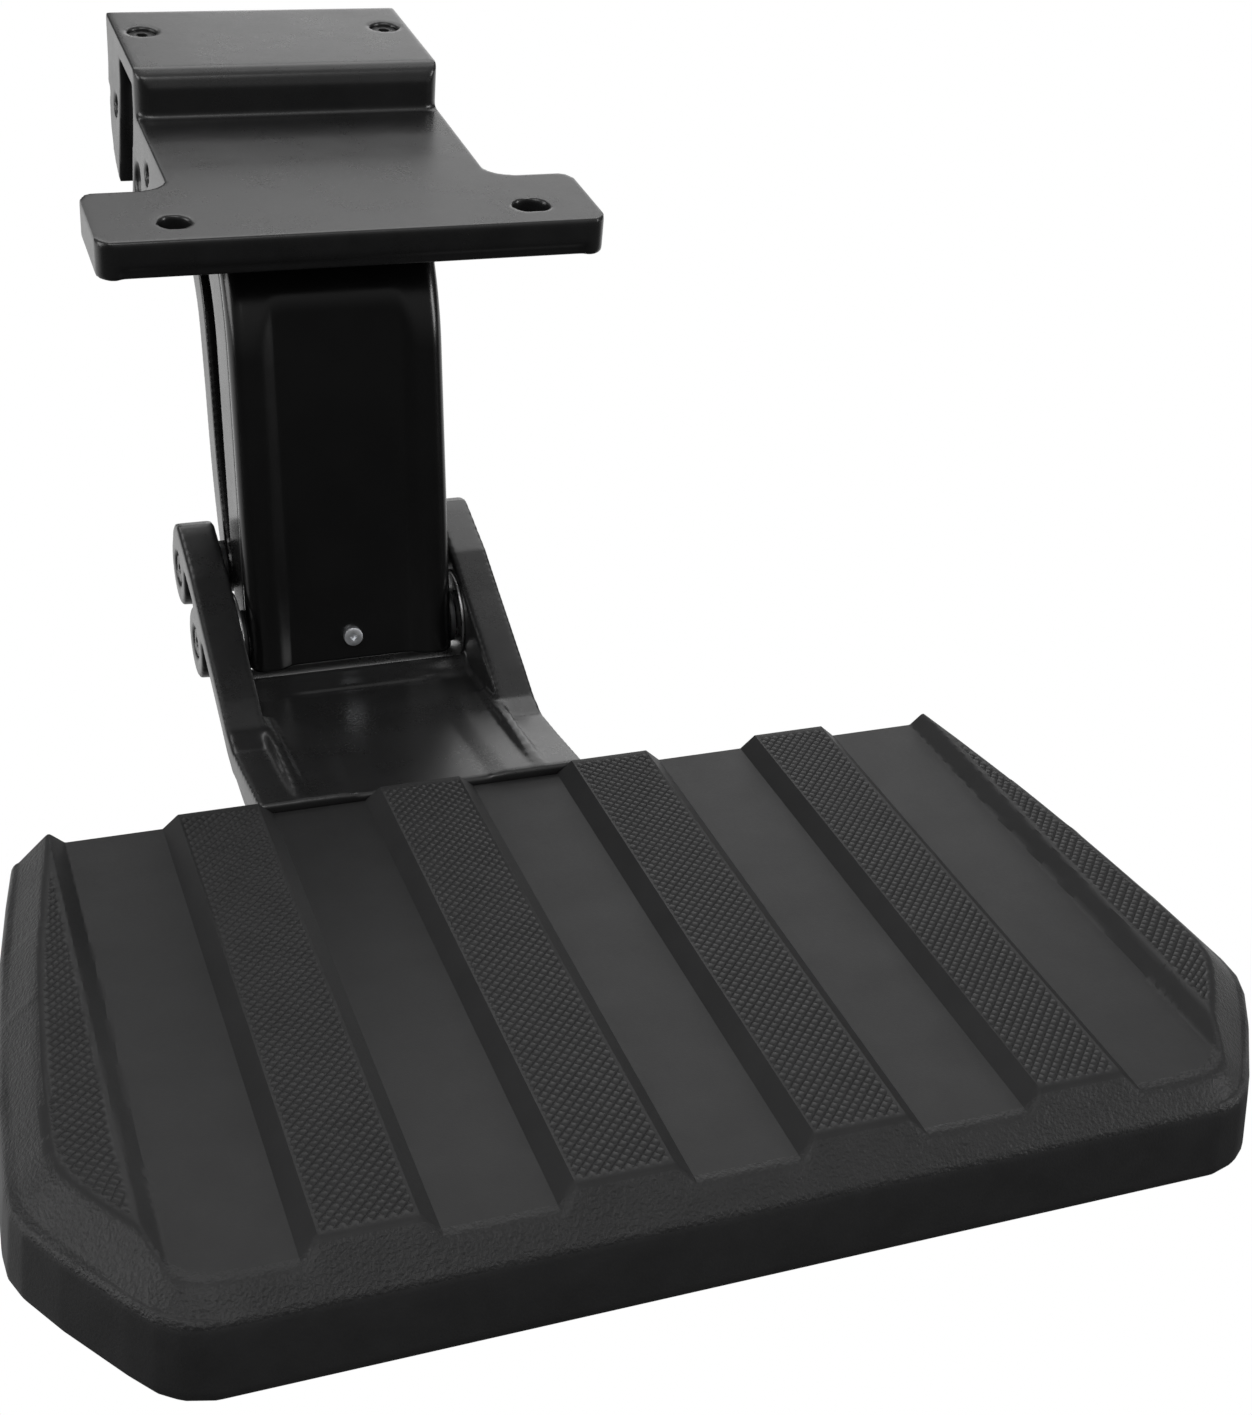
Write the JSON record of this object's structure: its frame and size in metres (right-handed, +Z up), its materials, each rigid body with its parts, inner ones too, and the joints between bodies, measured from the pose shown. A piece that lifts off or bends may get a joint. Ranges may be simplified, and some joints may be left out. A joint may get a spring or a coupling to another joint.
{
  "type": "tailgate step",
  "caption": "Folding tailgate step: a cast bracket that bolts under a vehicle, two parallel swing links with a gloss cover, and a wide ribbed tread on a cast carrier.",
  "frame": {"origin": "on the top face of the mounting tab, on the line through its two bolt holes, in the middle plane of the swing links", "axes": "+X to the right seen from behind the vehicle, +Y forward towards the vehicle, +Z up; drawn deployed"},
  "size_m": [0.364, 0.4964, 0.207],
  "materials": {
    "black_casting": "satin black powder coat",
    "gloss_black_plastic": "gloss",
    "tread_plastic": "matte with a fine grain",
    "black_sheet": "satin",
    "black_steel": "black oxide",
    "steel": "turned",
    "zinc_steel": "bright zinc",
    "spring_steel": "oiled",
    "rubber": "matte",
    "bush_plastic": "satin"
  },
  "bodies": {
    "bracket": {"top_bracket": "black_casting", "pin_lock_screws": "black_steel", "front_upper_shaft": "steel", "rear_upper_shaft": "steel", "stow_stop_pin": "steel", "deployed_bumpers": "rubber", "bumper_screws": "zinc_steel"},
    "front_arm": {"front_link": "black_casting", "front_cover": "gloss_black_plastic", "cover_screw": "zinc_steel", "front_upper_bushes": "bush_plastic", "front_lower_bushes": "bush_plastic", "left_torsion_spring": "spring_steel", "right_torsion_spring": "spring_steel"},
    "rear_arm": {"rear_link": "black_casting", "rear_upper_bushes": "bush_plastic", "rear_lower_bushes": "bush_plastic"},
    "step": {"step_carrier": "black_casting", "front_lower_shaft": "steel", "rear_lower_shaft": "steel", "lower_thrust_washers": "steel", "shaft_circlips": "black_steel", "tread_frame": "black_sheet", "frame_bolts": "zinc_steel", "tread_pad": "tread_plastic", "tread_screws": "zinc_steel"}
  },
  "joints": [
    {"name": "swing", "type": "hinge", "parent": "bracket", "child": "front_arm", "pos_m": [0, 0.09, -0.022], "axis": [1, 0, 0], "range_deg": [0, 75], "stiffness_Nm_per_rad": 3, "springref_deg": -74.48},
    {"name": "rear_swing", "type": "hinge", "parent": "bracket", "child": "rear_arm", "pos_m": [0, 0.1243, -0.0112], "axis": [1, 0, 0], "range_deg": [0, 75]},
    {"name": "step_level", "type": "hinge", "parent": "front_arm", "child": "step", "pos_m": [0, 0, -0.1613], "axis": [1, 0, 0], "range_deg": [-75, 0]}
  ],
  "couplings": [
    {"joint": "rear_swing", "follows": "swing", "ratio": 1},
    {"joint": "step_level", "follows": "swing", "ratio": -1}
  ]
}
